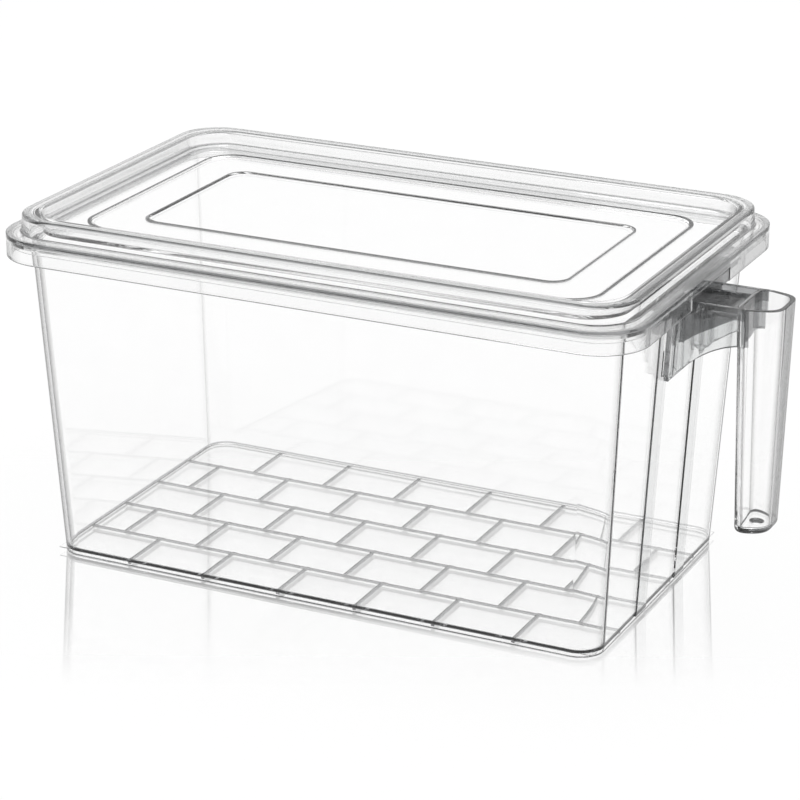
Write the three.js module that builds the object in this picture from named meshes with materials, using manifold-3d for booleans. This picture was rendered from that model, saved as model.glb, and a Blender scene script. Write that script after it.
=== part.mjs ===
// A clear lidded storage box with a grip handle on one end, in millimetres: X along the box towards the
// handle, Y across, Z up, origin in the middle of the face it stands on.
import * as THREE from 'three';
import { mergeVertices } from 'three/addons/utils/BufferGeometryUtils.js';
import Module from 'manifold-3d';

const wasm = await Module();
wasm.setup();

// Tub
const tubHeight = 149.6;
const baseLength = 262.7;
const baseWidth = 149;
const endFlare = 7.65;
const sideFlare = 7.5;
const baseCorner = 13;
const mouthCorner = 15;
const tubWall = 2;
const floorThickness = 2;
const footHeight = 2.3;
const footWidth = 1.8;
const rimOverhang = 8;
const rimThickness = 2.2;
const rimCorner = 20;
const rimLip = 1.5;
const rimEdge = 1.6;
const brickColumns = 7;
const brickRows = 5;
const ribWidth = 1.3;
const ribHeight = 1.5;

// Lid
const lidWall = 2;
const skirtWall = 2.2;
const skirtDepth = 10.5;
const shoulder = 1.6;
const ringInset = 5.8;
const ringRise = 8.1;
const ringTopWidth = 6.2;
const ringRound = 1.3;
const ringOuterDraft = 0.4;
const ringInnerDraft = 1.2;
const panelDepth = 6.3;
const firstStepInset = 29.4;
const secondStepInset = 49.4;
const stepDrop = 0.7;
const stepWidth = 0.9;
const cornerShrinkShare = 0.26;
const notchHalfWidth = 23;
const notchHeight = 6.2;

// Handle
const gripTopDrop = 6.6;
const gripLength = 101;
const gripGap = 26.4;
const gripDepth = 19.3;
const gripInnerHalf = 16.8;
const gripOuterHalf = 11.8;
const gripInnerCorner = 5;
const gripOuterCorner = 4;
const gripDraft = 2.2;
const gripWall = 2;
const gripFloor = 2.4;
const gripBottomRound = 2;
const drainDiameter = 6.5;
const plateHalfWidth = 22;
const plateThickness = 2.2;
const plateHeight = 38.6;
const armHalfWidth = 15.2;
const armWall = 2;
const armFlare = 11;
const armDeckDrop = 2.6;
const armDeckThickness = 2.2;
const armGripHeight = 16.8;
const archBulge = 6.4;

// Guides on the end wall
const bandInnerHalf = 17.5;
const bandWidth = 11;
const bandRise = 0.8;
const railWall = 2.2;
const railLipReach = 2.8;
const railLipThickness = 2;
const railHeight = 36;
const collarReach = 24;
const collarHeight = 14;
const collarThickness = 3;

// Clearances and overlaps
const seatGap = 0.3;
const rimClearance = 0.6;
const slideGap = 0.3;
const weld = 0.8;
const overrun = 5;

// Roundness, in steps to a corner
const cornerSteps = 7;
const smallCornerSteps = 4;
const archSteps = 10;
const holeSides = 24;

const mouthLength = baseLength + 2 * endFlare;
const mouthWidth = baseWidth + 2 * sideFlare;
const rimTop = tubHeight;
const rimUnderside = rimTop - rimThickness;
const wallSlope = endFlare / tubHeight;
const endWallX = (z) => baseLength / 2 + wallSlope * z;

// Manifold solid from any closed three.js geometry
function solid(geometry) {
  const bare = new THREE.BufferGeometry();
  const source = geometry.index ? geometry.toNonIndexed() : geometry;
  bare.setAttribute('position', source.getAttribute('position'));
  const merged = mergeVertices(bare);
  const mesh = new wasm.Mesh({
    numProp: 3,
    vertProperties: new Float32Array(merged.getAttribute('position').array),
    triVerts: new Uint32Array(merged.index.array),
  });
  return new wasm.Manifold(mesh);
}

// Three.js geometry from a manifold solid
function geometryOf(manifold) {
  const mesh = manifold.getMesh();
  const geometry = new THREE.BufferGeometry();
  const positions = new Float32Array(mesh.numVert * 3);
  for (let i = 0; i < mesh.numVert; i++) {
    for (let k = 0; k < 3; k++) positions[3 * i + k] = mesh.vertProperties[mesh.numProp * i + k];
  }
  geometry.setAttribute('position', new THREE.BufferAttribute(positions, 3));
  geometry.setIndex(Array.from(mesh.triVerts));
  const flat = geometry.toNonIndexed();
  flat.computeVertexNormals();
  return flat;
}

function union(solids) {
  return solids.reduce((sum, next) => sum.add(next));
}

// Box between two corners, leaning with the end wall when sheared
function box(x0, x1, y0, y1, z0, z1, leaning = false) {
  const geometry = new THREE.BoxGeometry(x1 - x0, y1 - y0, z1 - z0);
  geometry.translate((x0 + x1) / 2, (y0 + y1) / 2, (z0 + z1) / 2);
  if (leaning) geometry.applyMatrix4(new THREE.Matrix4().makeShear(0, 0, 0, 0, wallSlope, 0));
  return solid(geometry);
}

// Leaning box whose x is counted outwards from the outer face of the end wall
function onEndWall(out0, out1, y0, y1, z0, z1) {
  const face = baseLength / 2;
  return box(face + out0, face + out1, y0, y1, z0, z1, true);
}

// Convex outline with an arc in place of each corner: corners are [x, y, radius], anticlockwise
function roundedOutline(corners, steps) {
  const points = [];
  corners.forEach(([x, y, radius], i) => {
    const before = corners[(i + corners.length - 1) % corners.length];
    const after = corners[(i + 1) % corners.length];
    const here = new THREE.Vector2(x, y);
    const inward = new THREE.Vector2(before[0], before[1]).sub(here).normalize();
    const onward = new THREE.Vector2(after[0], after[1]).sub(here).normalize();
    const half = Math.acos(THREE.MathUtils.clamp(inward.dot(onward), -1, 1)) / 2;
    const centre = inward.clone().add(onward).normalize();
    centre.multiplyScalar(radius / Math.sin(half)).add(here);
    const start = Math.atan2(-inward.x, inward.y) + Math.PI;
    const turn = Math.PI - 2 * half;
    for (let k = 0; k <= steps; k++) {
      const angle = start + (turn * k) / steps;
      points.push([centre.x + radius * Math.cos(angle), centre.y + radius * Math.sin(angle)]);
    }
  });
  return points;
}

function rectangle(length, width, radius, steps = cornerSteps) {
  const x = length / 2;
  const y = width / 2;
  return roundedOutline([[x, -y, radius], [x, y, radius], [-x, y, radius], [-x, -y, radius]], steps);
}

// Closed solid through a run of level outlines with equal point counts, capped at both ends
function loft(rings) {
  const count = rings[0].points.length;
  const vertices = [];
  const faces = [];
  rings.forEach(({ points, z }) => points.forEach(([x, y]) => vertices.push(x, y, z)));
  for (let r = 0; r + 1 < rings.length; r++) {
    for (let i = 0; i < count; i++) {
      const a = r * count + i;
      const b = r * count + ((i + 1) % count);
      faces.push(a, b, b + count, a, b + count, a + count);
    }
  }
  const cap = (ring, flip) => {
    const centre = vertices.length / 3;
    const { points, z } = rings[ring];
    const sum = points.reduce(([sx, sy], [x, y]) => [sx + x, sy + y], [0, 0]);
    vertices.push(sum[0] / count, sum[1] / count, z);
    for (let i = 0; i < count; i++) {
      const a = ring * count + i;
      const b = ring * count + ((i + 1) % count);
      faces.push(...(flip ? [b, a, centre] : [a, b, centre]));
    }
  };
  cap(0, true);
  cap(rings.length - 1, false);
  const geometry = new THREE.BufferGeometry();
  geometry.setAttribute('position', new THREE.Float32BufferAttribute(vertices, 3));
  geometry.setIndex(faces);
  return solid(geometry);
}

// Outline of the tub's outer wall at a height, drawn in by an inset
function wallRing(z, inset = 0) {
  const share = z / tubHeight;
  const length = THREE.MathUtils.lerp(baseLength, mouthLength, share) - 2 * inset;
  const width = THREE.MathUtils.lerp(baseWidth, mouthWidth, share) - 2 * inset;
  const radius = THREE.MathUtils.lerp(baseCorner, mouthCorner, share) - inset;
  return { points: rectangle(length, width, radius), z };
}

// Outline of the rim's outer edge, grown by an outset: the lid's skirt goes round it
function rimRing(z, outset = 0) {
  const length = mouthLength + 2 * (rimOverhang + outset);
  const width = mouthWidth + 2 * (rimOverhang + outset);
  return { points: rectangle(length, width, rimCorner + outset), z };
}

// Brick pattern of low ribs under the floor
function brickRibs() {
  const top = footHeight + weld;
  const bottom = footHeight - ribHeight;
  const pitchX = baseLength / brickColumns;
  const pitchY = baseWidth / brickRows;
  const ribs = [];
  const insideX = baseLength / 2 - footWidth / 2;
  const insideY = baseWidth / 2 - footWidth / 2;
  for (let row = 1; row < brickRows; row++) {
    const y = row * pitchY - baseWidth / 2;
    ribs.push(box(-insideX, insideX, y - ribWidth / 2, y + ribWidth / 2, bottom, top));
  }
  for (let row = 0; row < brickRows; row++) {
    const y0 = Math.max(row * pitchY - baseWidth / 2, -insideY);
    const y1 = Math.min((row + 1) * pitchY - baseWidth / 2, insideY);
    const shift = row % 2 ? pitchX / 2 : 0;
    for (let x = shift + pitchX - baseLength / 2 - (row % 2 ? pitchX : 0); x < insideX; x += pitchX) {
      ribs.push(box(x - ribWidth / 2, x + ribWidth / 2, y0, y1, bottom, top));
    }
  }
  return union(ribs);
}

// Bands, rails and collar that hold the handle's plate, on the end wall
const plateOffset = bandRise + slideGap;
const railTop = rimUnderside + weld;
const railBottom = rimUnderside - railHeight;
const railFace = plateHalfWidth + slideGap;
const lipOffset = plateOffset + plateThickness + slideGap;

function wallGuides() {
  const guides = [];
  for (const side of [-1, 1]) {
    const span = (near, far) => (side > 0 ? [near, far] : [-far, -near]);
    const band = span(bandInnerHalf, bandInnerHalf + bandWidth);
    guides.push(onEndWall(-weld, bandRise, ...band, footHeight, railTop));
    const upright = span(railFace, railFace + railWall);
    guides.push(onEndWall(-weld, lipOffset + railLipThickness, ...upright, railBottom, railTop));
    const lip = span(railFace - railLipReach, railFace + railWall);
    guides.push(onEndWall(lipOffset, lipOffset + railLipThickness, ...lip, railBottom, railTop));
    const collar = span(railFace + railWall / 2, railFace + railWall + collarReach);
    guides.push(onEndWall(-weld, collarThickness, ...collar, rimUnderside - collarHeight, railTop));
  }
  return union(guides);
}

function tub() {
  const innerFloor = footHeight + floorThickness;
  const shell = loft([
    wallRing(footHeight, footWidth),
    wallRing(0, footWidth),
    wallRing(0),
    wallRing(rimUnderside),
    rimRing(rimUnderside, -rimEdge),
    rimRing(rimUnderside - rimLip, -rimEdge),
    rimRing(rimUnderside - rimLip),
    rimRing(rimTop),
    wallRing(rimTop, tubWall),
    wallRing(innerFloor + tubWall, tubWall),
    wallRing(innerFloor, 2 * tubWall),
  ]);
  return union([shell, brickRibs(), wallGuides()]);
}

// Outline of the lid at an inset from the outer face of its skirt
const skirtOutset = rimClearance + skirtWall;
function lidRing(inset, z) {
  const length = mouthLength + 2 * (rimOverhang + skirtOutset - inset);
  const width = mouthWidth + 2 * (rimOverhang + skirtOutset - inset);
  const wall = Math.min(inset, skirtWall);
  const radius = rimCorner + skirtOutset - wall - cornerShrinkShare * (inset - wall);
  return { points: rectangle(length, width, radius), z };
}

const lidUnderside = rimTop + seatGap;
const flangeTop = lidUnderside + lidWall;
const skirtBottom = flangeTop - skirtDepth;

function lid() {
  const ringTop = flangeTop + ringRise;
  const panelTop = ringTop - panelDepth;
  const ringOut = ringInset + ringOuterDraft;
  const ringIn = ringOut + ringTopWidth;
  const panelEdge = ringIn + ringInnerDraft;
  const roundCut = ringRound * (1 - Math.SQRT1_2);
  const shoulderCut = shoulder * (1 - Math.SQRT1_2);
  const topSide = [
    lidRing(0, skirtBottom),
    lidRing(0, flangeTop - shoulder),
    lidRing(shoulderCut, flangeTop - shoulderCut),
    lidRing(shoulder, flangeTop),
    lidRing(ringInset, flangeTop),
    lidRing(ringOut, ringTop - ringRound),
    lidRing(ringOut + roundCut, ringTop - roundCut),
    lidRing(ringOut + ringRound, ringTop),
    lidRing(ringIn - ringRound, ringTop),
    lidRing(ringIn - roundCut, ringTop - roundCut),
    lidRing(ringIn, ringTop - ringRound),
    lidRing(panelEdge, panelTop),
    lidRing(firstStepInset, panelTop),
    lidRing(firstStepInset + stepWidth, panelTop - stepDrop),
    lidRing(secondStepInset, panelTop - stepDrop),
    lidRing(secondStepInset + stepWidth, panelTop - 2 * stepDrop),
  ];
  const underside = [
    lidRing(secondStepInset + stepWidth, panelTop - 2 * stepDrop - lidWall),
    lidRing(secondStepInset, panelTop - stepDrop - lidWall),
    lidRing(firstStepInset + stepWidth, panelTop - stepDrop - lidWall),
    lidRing(firstStepInset, panelTop - lidWall),
    lidRing(panelEdge - lidWall / 2, panelTop - lidWall),
    lidRing(ringIn - lidWall, ringTop - lidWall),
    lidRing(ringOut + lidWall, ringTop - lidWall),
    lidRing(ringInset + lidWall, lidUnderside),
    lidRing(skirtWall, lidUnderside),
    lidRing(skirtWall, skirtBottom),
  ];
  const outer = mouthLength / 2 + rimOverhang + skirtOutset;
  const notchFloor = skirtBottom - overrun;
  const notchTop = skirtBottom + notchHeight;
  const notch = box(
    outer - skirtWall - rimClearance / 2, outer + overrun,
    -notchHalfWidth, notchHalfWidth,
    notchFloor, notchTop,
  );
  return loft([...underside, ...topSide]).subtract(notch);
}

// Rounded trapezoid of the grip, wide side to the box, drawn in by an inset
const gripTop = tubHeight - gripTopDrop;
const gripBottom = gripTop - gripLength;
const gripFace = mouthLength / 2 + gripGap;
function gripRing(z, inset = 0) {
  const draft = (gripDraft * (gripTop - z)) / gripLength + inset;
  const inner = gripFace + draft;
  const outer = gripFace + gripDepth - draft;
  const innerHalf = gripInnerHalf - draft;
  const outerHalf = gripOuterHalf - draft;
  const corners = [
    [outer, -outerHalf, gripOuterCorner - inset],
    [outer, outerHalf, gripOuterCorner - inset],
    [inner, innerHalf, gripInnerCorner - inset],
    [inner, -innerHalf, gripInnerCorner - inset],
  ];
  return { points: roundedOutline(corners, smallCornerSteps), z };
}

function extrudeAlongZ(points, z0, z1) {
  return loft([{ points, z: z0 }, { points, z: z1 }]);
}

// Side view of the arm: straight on top, arched below from the plate to the grip
function armSide() {
  const plateMid = plateOffset + plateThickness / 2;
  const foot = rimUnderside - plateHeight;
  const root = endWallX(foot) + plateMid;
  const head = endWallX(gripTop) + plateMid;
  const tip = gripFace + gripWall;
  const lintel = gripTop - armGripHeight;
  const shape = new THREE.Shape();
  shape.moveTo(root, foot);
  const middle = new THREE.Vector2((root + tip) / 2, (foot + lintel) / 2 + archBulge);
  shape.quadraticCurveTo(middle.x, middle.y, tip, lintel);
  shape.lineTo(tip, gripTop);
  shape.lineTo(head, gripTop);
  const depth = 2 * plateHalfWidth;
  const geometry = new THREE.ExtrudeGeometry(shape, { depth, bevelEnabled: false, curveSegments: archSteps });
  geometry.rotateX(Math.PI / 2);
  geometry.translate(0, plateHalfWidth, 0);
  return solid(geometry);
}

// Plan of the arm: a neck between the rail lips, wide just past them, then straight to the grip
function armPlan(inset, z0, z1) {
  const root = endWallX(gripBottom);
  const flareStart = endWallX(gripTop) + lipOffset + railLipThickness + slideGap + inset;
  const flareEnd = mouthLength / 2 + armFlare;
  const tip = gripFace + gripWall;
  const neckHalf = plateHalfWidth - railLipReach - slideGap - inset;
  const flareHalf = plateHalfWidth - inset;
  const half = armHalfWidth - inset;
  const side = [[root, neckHalf], [flareStart, neckHalf], [flareStart, flareHalf], [flareEnd, half], [tip, half]];
  const farSide = side.map(([x, y]) => [x, -y]);
  return extrudeAlongZ([...farSide, ...side.reverse()], z0, z1);
}

function arm() {
  const deckTop = gripTop - armDeckDrop;
  const deckBottom = deckTop - armDeckThickness;
  const body = armSide().intersect(armPlan(0, gripBottom, gripTop + overrun));
  const below = armPlan(armWall, gripBottom, deckBottom);
  const above = armPlan(armWall, deckTop, gripTop + overrun);
  return body.subtract(below).subtract(above);
}

function handle() {
  const plateTop = rimUnderside - slideGap;
  const plateFoot = rimUnderside - plateHeight;
  const plate = onEndWall(
    plateOffset, plateOffset + plateThickness,
    -plateHalfWidth, plateHalfWidth,
    plateFoot, plateTop,
  );
  const grip = loft([
    gripRing(gripBottom, gripBottomRound / 2),
    gripRing(gripBottom + gripBottomRound / 2, gripBottomRound / 4),
    gripRing(gripBottom + gripBottomRound),
    gripRing(gripTop),
  ]);
  const hollow = loft([gripRing(gripBottom + gripFloor, gripWall), gripRing(gripTop + overrun, gripWall)]);
  const drain = new THREE.CylinderGeometry(drainDiameter / 2, drainDiameter / 2, 2 * overrun, holeSides);
  drain.rotateX(Math.PI / 2);
  drain.translate(gripFace + gripDepth / 2, 0, gripBottom);
  return union([grip, plate, arm()]).subtract(hollow).subtract(solid(drain));
}

const clearPlastic = { roughness: 0.12, metalness: 0 };
const pieces = [
  { name: 'tub', shape: tub(), color: 0xdfe3e5 },
  { name: 'lid', shape: lid(), color: 0xe4e7e8 },
  { name: 'handle', shape: handle(), color: 0xc9cdd0 },
];

const group = new THREE.Group();
for (const { name, shape, color } of pieces) {
  const material = new THREE.MeshStandardMaterial({ color, ...clearPlastic });
  const mesh = new THREE.Mesh(geometryOf(shape), material);
  mesh.name = name;
  group.add(mesh);
}

// The lid reaches furthest one way and the grip the other
const lidEnd = mouthLength / 2 + rimOverhang + skirtOutset;
const gripEnd = gripFace + gripDepth;
group.position.x = (lidEnd - gripEnd) / 2;

export default group;
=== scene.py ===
import math

import bpy
import numpy as np
from mathutils import Matrix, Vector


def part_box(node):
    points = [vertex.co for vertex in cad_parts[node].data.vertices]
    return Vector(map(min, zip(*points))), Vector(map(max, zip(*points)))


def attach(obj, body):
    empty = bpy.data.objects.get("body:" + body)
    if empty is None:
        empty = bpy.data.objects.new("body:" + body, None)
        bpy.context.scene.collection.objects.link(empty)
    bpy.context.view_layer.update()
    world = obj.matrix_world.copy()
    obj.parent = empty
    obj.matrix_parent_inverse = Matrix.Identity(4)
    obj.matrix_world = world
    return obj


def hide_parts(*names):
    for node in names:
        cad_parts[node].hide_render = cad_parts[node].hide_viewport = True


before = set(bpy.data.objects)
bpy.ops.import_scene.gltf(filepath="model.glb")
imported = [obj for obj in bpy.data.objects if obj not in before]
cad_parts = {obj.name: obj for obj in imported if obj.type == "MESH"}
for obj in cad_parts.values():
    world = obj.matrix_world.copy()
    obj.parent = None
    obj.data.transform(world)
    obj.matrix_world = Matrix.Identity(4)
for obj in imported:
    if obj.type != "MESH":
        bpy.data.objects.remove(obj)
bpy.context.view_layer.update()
mm = 0.001
hair = 0.1 * mm  # less than any run of a profile, so it tells one level from the next

tubLow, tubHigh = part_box("tub")
lidLow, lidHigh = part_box("lid")
handleLow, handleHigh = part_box("handle")
middleX = (lidLow.x + lidHigh.x) / 2  # the tub and the lid share this middle
print("frame loaded")

# Face tones shared by every piece: each is a material slot. All but the wall tone carry painted shade
wallTone = 0  # clear sheet
edgeTone = 1  # roundings, steps and ribs, tinted dark as painted shade lines
shadeTone = 2  # grey painted shade on thick mouldings and on those seen through others
paleShadeTone = 3  # faint grey painted shade on thick faces
cornerTone = 4  # upright corners, with painted shade where they turn away from the eye
flankTone = 5  # mid grey painted shade: sides of the floor's ribs, and the fainter lines elsewhere
toneCount = 6
turnTone = -1  # no slot of its own: cornerTone on the upright corners and wallTone between them
sharpAngle = 35  # degrees: smaller bends are shaded smooth


def softened(corners, cuts, steps):
    # Closed outline with each corner replaced by a quadratic curve, for any number of outlines at once. The
    # curve starts a cut before the corner and ends a cut after it: (1-s)^2 start + 2s(1-s) corner + s^2 end.
    inward = np.roll(corners, 1, axis=-2) - corners
    onward = np.roll(corners, -1, axis=-2) - corners
    inward = inward / np.linalg.norm(inward, axis=-1, keepdims=True)
    onward = onward / np.linalg.norm(onward, axis=-1, keepdims=True)
    cuts = np.broadcast_to(cuts, corners.shape[:-1])[..., None]
    start = (corners + cuts * inward)[..., None, :]
    end = (corners + cuts * onward)[..., None, :]
    s = np.linspace(0, 1, steps + 1)[:, None]
    points = (1 - s) ** 2 * start + 2 * s * (1 - s) * corners[..., None, :] + s ** 2 * end
    return points.reshape(*corners.shape[:-2], -1, 2)


def softenedProfile(rows, steps=4):
    # Open profile from rows of: offset, height, cut in mm, tone or tones of the rounding there, tone of the
    # run after it. Its inner corners are rounded as above. Returns the points and the tone after each.
    points = np.array([row[:2] for row in rows], float)
    cuts = np.array([row[2] for row in rows[1:-1]], float)[:, None, None] * mm
    edges = [row[3] for row in rows[1:-1]]
    tones = [row[4] for row in rows[:-1]]
    before, here, after = points[:-2], points[1:-1], points[2:]
    inward = (before - here) / np.linalg.norm(before - here, axis=1, keepdims=True)
    onward = (after - here) / np.linalg.norm(after - here, axis=1, keepdims=True)
    s = np.linspace(0, 1, steps + 1)[None, :, None]
    start = here[:, None] + cuts * inward[:, None]
    end = here[:, None] + cuts * onward[:, None]
    arcs = (1 - s) ** 2 * start + 2 * s * (1 - s) * here[:, None] + s ** 2 * end
    rounded = np.concatenate([points[:1], arcs.reshape(-1, 2), points[-1:]])
    arcTones = np.array([np.broadcast_to(edge, steps) for edge in edges])
    rowTones = np.concatenate([arcTones, np.array(tones[1:])[:, None]], axis=1).ravel()
    return rounded, np.concatenate([[tones[0]], rowTones])


def rectangleRings(halfX, halfY, radius, z, steps):
    # A rounded rectangle at each height: quarter circles about the four corner centres, anticlockwise.
    quarter = np.linspace(0, np.pi / 2, steps + 1)
    angle = (quarter[None, :] + np.arange(4)[:, None] * np.pi / 2).ravel()
    signX = np.repeat([1, -1, -1, 1], steps + 1)
    signY = np.repeat([1, 1, -1, -1], steps + 1)
    x = middleX + signX * (halfX - radius)[:, None] + radius[:, None] * np.cos(angle)
    y = signY * (halfY - radius)[:, None] + radius[:, None] * np.sin(angle)
    return np.stack([x, y, np.broadcast_to(z[:, None], x.shape)], axis=-1)


def spreadTones(rows, count, steps):
    # A tone for each cell from a tone for each row: the quarter circles take the first 4 * (steps + 1) cells
    # round, each followed by one straight cell.
    onArc = np.zeros(count, bool)
    onArc[:4 * (steps + 1)] = np.tile(np.append(np.ones(steps, bool), False), 4)
    turned = np.where(onArc, cornerTone, wallTone)
    return np.where(rows[:, None] == turnTone, turned[None, :], rows[:, None])


def atHeights(plan, z):
    # Outlines in plan set at their heights: x and y from the outline, z from its row.
    return np.concatenate([plan, np.broadcast_to(z[:, None, None], plan.shape[:-1] + (1,))], axis=-1)


def tonedMesh(name, points, faces, tones):
    # One mesh object whose faces each have a tone. The slots are empty until the piece is finished.
    mesh = bpy.data.meshes.new(name)
    mesh.from_pydata(points.tolist(), [], faces)
    for _ in range(toneCount):
        mesh.materials.append(None)
    mesh.polygons.foreach_set("material_index", tones.astype(np.int32))
    thing = bpy.data.objects.new(name, mesh)
    bpy.context.scene.collection.objects.link(thing)
    return thing


def skin(name, rings, tones, caps):
    # Closed surface over a grid of points, rings by points round: a quad for each cell, and one flat face at
    # each end. tones has a tone for each cell.
    count = rings.shape[1]
    index = np.arange(rings.shape[0] * count).reshape(-1, count)
    onward = np.roll(index, -1, axis=1)
    quads = np.stack([index[:-1], onward[:-1], onward[1:], index[1:]], axis=-1).reshape(-1, 4)
    faces = quads.tolist() + [index[0, ::-1].tolist(), index[-1].tolist()]
    cellTones = np.broadcast_to(tones, (rings.shape[0] - 1, count)).ravel()
    return tonedMesh(name, rings.reshape(-1, 3), faces, np.concatenate([cellTones, caps]))


def combine(piece, tool, operation):
    # Exact boolean of two closed surfaces, applied at once: the faces keep their tones.
    modifier = piece.modifiers.new("join", "BOOLEAN")
    modifier.operation = operation
    modifier.solver = "EXACT"
    modifier.object = tool
    bpy.context.view_layer.update()
    evaluated = piece.evaluated_get(bpy.context.evaluated_depsgraph_get())
    mesh = bpy.data.meshes.new_from_object(evaluated)
    piece.modifiers.clear()
    old = piece.data
    piece.data = mesh
    bpy.data.meshes.remove(old)
    bpy.data.objects.remove(tool)


def finishPiece(piece, node, body, materials):
    # Smooth across the small roundings and sharp at real edges, with large faces ruling the normals.
    mesh = piece.data
    tones = np.empty(len(mesh.polygons), np.int32)
    mesh.polygons.foreach_get("material_index", tones)
    mesh.materials.clear()
    for material in materials:
        mesh.materials.append(material)
    mesh.polygons.foreach_set("material_index", tones)
    mesh.polygons.foreach_set("use_smooth", np.ones(len(mesh.polygons), bool))
    mesh.set_sharp_from_angle(angle=math.radians(sharpAngle))
    weighted = piece.modifiers.new("even normals", "WEIGHTED_NORMAL")
    weighted.keep_sharp = True
    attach(piece, body)
    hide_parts(node)
    print(piece.name, len(mesh.polygons), "faces", np.bincount(tones, minlength=toneCount), "by tone")


# Camera fitted to the edges of the photographed box
cameraSet = {
    "place": (520.32 * mm, -1109.91 * mm, 532.09 * mm),
    "yaw": -25.633,
    "pitch": -20.537,
    "roll": 0.241,
    "lens": 132.06,
    "sensor": 36.0,
    "reach": 50,  # metres
}


def makeCamera():
    # Forward is the yaw and pitch direction, right is level, and the roll turns right and up about forward.
    yaw = math.radians(cameraSet["yaw"])
    pitch = math.radians(cameraSet["pitch"])
    roll = math.radians(cameraSet["roll"])
    forward = np.array([math.sin(yaw) * math.cos(pitch), math.cos(yaw) * math.cos(pitch), math.sin(pitch)])
    level = np.array([math.cos(yaw), -math.sin(yaw), 0])
    upright = np.cross(level, forward)
    right = math.cos(roll) * level + math.sin(roll) * upright
    up = math.cos(roll) * upright - math.sin(roll) * level
    data = bpy.data.cameras.new("camera")
    data.lens = cameraSet["lens"]
    data.sensor_width = cameraSet["sensor"]
    data.clip_end = cameraSet["reach"]
    camera = bpy.data.objects.new("camera", data)
    turn = np.eye(4)
    turn[:3, 0] = right
    turn[:3, 1] = up
    turn[:3, 2] = -forward
    turn[:3, 3] = cameraSet["place"]
    bpy.context.scene.collection.objects.link(camera)
    camera.matrix_world = Matrix(turn.tolist())
    bpy.context.scene.camera = camera


makeCamera()
print("camera set")


def linear(hexColour):
    # sRGB hex to linear: each channel c becomes ((c + 0.055) / 1.055)^2.4, or c / 12.92 when very dark.
    channels = [int(hexColour[i:i + 2], 16) / 255 for i in (1, 3, 5)]
    return [((c + 0.055) / 1.055) ** 2.4 if c > 0.04045 else c / 12.92 for c in channels] + [1.0]


def addNode(tree, kind, settings=None, links=None):
    # One node, with its settings by attribute or socket name and its links as socket: source socket.
    node = tree.nodes.new(kind)
    for name, value in (settings or {}).items():
        if name in node.inputs:
            node.inputs[name].default_value = value
        else:
            setattr(node, name, value)
    for name, source in (links or {}).items():
        tree.links.new(source, node.inputs[name])
    return node


# Styrene acrylonitrile (AS), injection moulded against a polished tool: water clear, hard and glossy, with
# the faintest waviness from its flow. The grey and dark tints on its edges, fillets and thick parts are
# painted shade, for the dark lines and grey that refraction and inner reflection show in clear plastic.
plasticSet = {
    "ior": 1.57,
    "waveSize": 14 * mm,  # distance between flow waves
    "waveDepth": 0.004 * mm,
    "grainSize": 0.9 * mm,  # patches of finer and coarser polish
    "roughSpread": 0.4,  # how far the polish varies either way
}


def clearPlastic(name, tint, secondTint, roughness, turnedShade=None, turn=(0.34, 0.86)):
    # The turned tint is painted shade: the tint where the surface turns away from the eye, as on a rounded
    # corner. It comes in over the turn, on a scale of 0 facing the eye to 1 edge on. A colour Mix has its two
    # colours in sockets 6 and 7 and its result in output 2.
    material = bpy.data.materials.new(name)
    material.use_nodes = True
    tree = material.node_tree
    tree.nodes.clear()
    place = addNode(tree, "ShaderNodeTexCoord").outputs["Object"]
    wave = addNode(
        tree, "ShaderNodeTexNoise",
        {"Scale": 1 / plasticSet["waveSize"], "Detail": 2.0},
        {"Vector": place},
    )
    grain = addNode(
        tree, "ShaderNodeTexNoise",
        {"Scale": 1 / plasticSet["grainSize"], "Detail": 1.0},
        {"Vector": place},
    )
    colour = addNode(tree, "ShaderNodeMix", {"data_type": "RGBA"})
    colour.inputs[6].default_value = linear(tint)
    colour.inputs[7].default_value = linear(secondTint)
    tree.links.new(wave.outputs["Fac"], colour.inputs[0])
    if turnedShade:
        facing = addNode(tree, "ShaderNodeLayerWeight", {"Blend": 0.5}).outputs["Facing"]
        turned = addNode(
            tree, "ShaderNodeMapRange",
            {"From Min": turn[0], "From Max": turn[1]},
            {"Value": facing},
        )
        clearColour = colour
        colour = addNode(tree, "ShaderNodeMix", {"data_type": "RGBA"})
        tree.links.new(turned.outputs["Result"], colour.inputs[0])
        tree.links.new(clearColour.outputs[2], colour.inputs[6])
        colour.inputs[7].default_value = linear(turnedShade)
    spread = plasticSet["roughSpread"]
    rough = addNode(
        tree, "ShaderNodeMapRange",
        {"To Min": roughness * (1 - spread), "To Max": roughness * (1 + spread)},
        {"Value": grain.outputs["Fac"]},
    )
    bump = addNode(
        tree, "ShaderNodeBump",
        {"Strength": 1.0, "Distance": plasticSet["waveDepth"]},
        {"Height": wave.outputs["Fac"]},
    )
    shader = addNode(
        tree, "ShaderNodeBsdfPrincipled",
        {"Metallic": 0.0, "IOR": plasticSet["ior"], "Transmission Weight": 1.0},
        {
            "Base Color": colour.outputs[2],
            "Roughness": rough.outputs["Result"],
            "Normal": bump.outputs["Normal"],
        },
    )
    addNode(tree, "ShaderNodeOutputMaterial", {}, {"Surface": shader.outputs["BSDF"]})
    return material
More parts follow.
